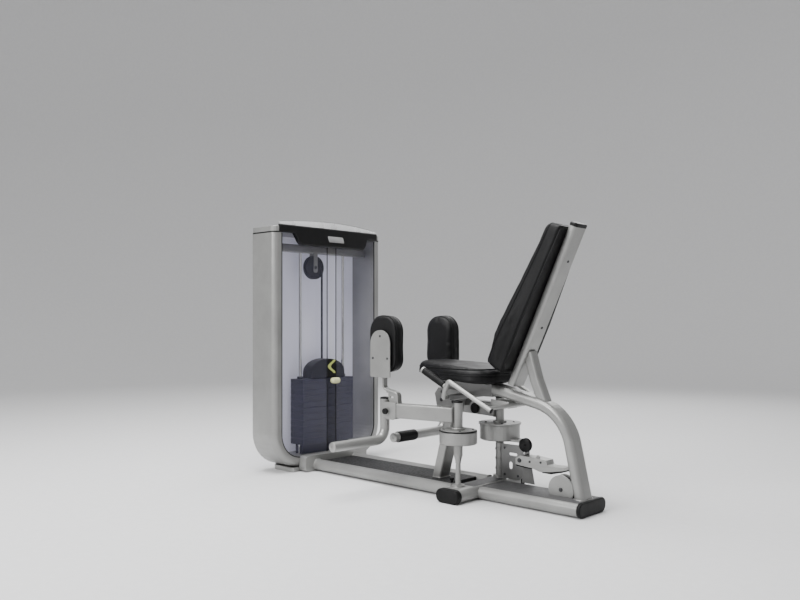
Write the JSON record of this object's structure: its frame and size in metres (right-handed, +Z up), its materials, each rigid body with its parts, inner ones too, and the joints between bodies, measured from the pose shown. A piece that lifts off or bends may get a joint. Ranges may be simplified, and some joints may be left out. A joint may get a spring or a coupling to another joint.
{
  "type": "inner and outer thigh machine",
  "caption": "Seated thigh machine: weight tower, twin coupled arms with swivelling pads and foot bars, raked seat and back on a curved steel spine, side grips and range lever.",
  "frame": {"origin": "middle of the footprint's box, on the floor", "axes": "+X from the weight tower to the seat back, +Y to the seated user's right, +Z up"},
  "size_m": [1.894, 0.989, 1.406],
  "materials": {
    "silver_paint": "satin silver powder coat",
    "grey_paint": "satin grey powder coat",
    "dark_deck": "fine textured, dark grey",
    "black_rubber": "matt moulded rubber",
    "black_leather": "semi-matt grained upholstery",
    "black_plastic": "fine textured",
    "tinted_panel": "glossy, tinted lavender grey",
    "clear_plastic": "clear and glossy",
    "pale_panel": "smooth pale grey",
    "chrome": "polished",
    "iron": "dark enamelled plates",
    "light_alloy": "bead blasted",
    "yellow_green": "glossy moulded knob"
  },
  "bodies": {
    "frame": {"rear_base_tube": "silver_paint", "rear_base_cap": "black_rubber", "cross_tube": "silver_paint", "cross_cap_near": "black_rubber", "cross_cap_far": "black_rubber", "front_beam": "silver_paint", "front_tube_near": "silver_paint", "front_tube_far": "silver_paint", "foot_deck": "dark_deck", "tower_side_near": "silver_paint", "tower_side_far": "silver_paint", "side_cap_near": "silver_paint", "side_cap_far": "silver_paint", "tower_base": "silver_paint", "tower_back_panel": "pale_panel", "front_panel_near": "tinted_panel", "front_panel_far": "tinted_panel", "header": "black_plastic", "tower_lid": "grey_paint", "top_cover": "clear_plastic", "weight_stack": "iron", "guide_rod_near": "chrome", "guide_rod_far": "chrome", "upper_beam": "grey_paint", "lift_cable": "black_rubber", "front_post": "silver_paint", "seat_rail": "grey_paint", "spine_tube": "silver_paint", "back_tube": "silver_paint", "back_brace": "silver_paint", "seat_cushion": "black_leather", "back_cushion": "black_leather", "handle_near": "silver_paint", "handle_far": "silver_paint", "grip_near": "black_rubber", "grip_far": "black_rubber", "pivot_post_near": "silver_paint", "pivot_post_far": "silver_paint", "range_plate": "grey_paint", "lever_stand": "grey_paint", "pulley_cover": "silver_paint"},
    "carriage": {"carriage_plate": "iron", "carriage_shroud": "black_plastic"},
    "selector_pin": {"selector_pin": "yellow_green"},
    "near_arm": {"arm_near": "silver_paint", "cam_near": "silver_paint"},
    "far_arm": {"arm_far": "silver_paint", "cam_far": "silver_paint"},
    "near_pad": {"pad_cushion_near": "black_leather", "pad_plate_near": "silver_paint"},
    "far_pad": {"pad_cushion_far": "black_leather", "pad_plate_far": "silver_paint"},
    "near_foot_bar": {"foot_bar_near": "silver_paint"},
    "far_foot_bar": {"foot_bar_far": "silver_paint", "foot_grip_far": "black_rubber"},
    "near_lock_knob": {"lock_knob_near": "black_plastic"},
    "far_lock_knob": {"lock_knob_far": "black_plastic"},
    "top_pulley": {"top_pulley": "black_plastic"},
    "rear_pulley": {"rear_pulley": "black_plastic"},
    "range_lever": {"range_lever": "light_alloy"}
  },
  "joints": [
    {"name": "carriage_lift", "type": "slide", "parent": "frame", "child": "carriage", "axis": [0, 0, 1], "range_m": [0, 0.2], "deforming": ["lift_cable"]},
    {"name": "near_arm_swing", "type": "hinge", "parent": "frame", "child": "near_arm", "pos_m": [0.332, -0.07845, 0.397], "axis": [0, 0, 1], "range_deg": [0, 50]},
    {"name": "far_arm_swing", "type": "hinge", "parent": "frame", "child": "far_arm", "pos_m": [0.332, 0.25155, 0.397], "axis": [0, 0, 1], "range_deg": [-50, 0]},
    {"name": "near_pad_turn", "type": "hinge", "parent": "near_arm", "child": "near_pad", "pos_m": [-0.0853, -0.14455, 0.726], "axis": [0, 0, 1], "range_deg": [0, 180]},
    {"name": "far_pad_turn", "type": "hinge", "parent": "far_arm", "child": "far_pad", "pos_m": [-0.0853, 0.31764, 0.726], "axis": [0, 0, 1], "range_deg": [-180, 0]},
    {"name": "near_foot_bar_turn", "type": "hinge", "parent": "near_arm", "child": "near_foot_bar", "pos_m": [-0.0853, -0.14455, 0.382], "axis": [0, 0, 1], "range_deg": [-90, 0]},
    {"name": "far_foot_bar_turn", "type": "hinge", "parent": "far_arm", "child": "far_foot_bar", "pos_m": [-0.0853, 0.31764, 0.382], "axis": [0, 0, 1], "range_deg": [-180, 0]},
    {"name": "near_knob_pull", "type": "slide", "parent": "near_arm", "child": "near_lock_knob", "axis": [0.1564, -0.9877, 0], "range_m": [0, 0.01], "stiffness_N_per_m": 600},
    {"name": "far_knob_pull", "type": "slide", "parent": "far_arm", "child": "far_lock_knob", "axis": [0.1564, 0.9877, 0], "range_m": [0, 0.01], "stiffness_N_per_m": 600},
    {"name": "selector_pin_pull", "type": "slide", "parent": "carriage", "child": "selector_pin", "axis": [1, 0, 0], "range_m": [0, 0.03]},
    {"name": "top_pulley_spin", "type": "hinge", "parent": "frame", "child": "top_pulley", "pos_m": [-0.848, 0.04325, 1.147], "axis": [1, 0, 0], "range_deg": [0, 190]},
    {"name": "rear_pulley_spin", "type": "hinge", "parent": "frame", "child": "rear_pulley", "pos_m": [0.8, 0.08655, 0.093], "axis": [0, 1, 0], "range_deg": [0, 225]},
    {"name": "range_lever_lift", "type": "hinge", "parent": "frame", "child": "range_lever", "pos_m": [0.532, 0.16655, 0.182], "axis": [0, 1, 0], "range_deg": [-8, 0]}
  ],
  "couplings": [
    {"joint": "near_arm_swing", "follows": "carriage_lift", "rad_per_m": 4.36},
    {"joint": "far_arm_swing", "follows": "carriage_lift", "rad_per_m": -4.36},
    {"joint": "top_pulley_spin", "follows": "carriage_lift", "rad_per_m": 15.8},
    {"joint": "rear_pulley_spin", "follows": "carriage_lift", "rad_per_m": 18.8}
  ]
}
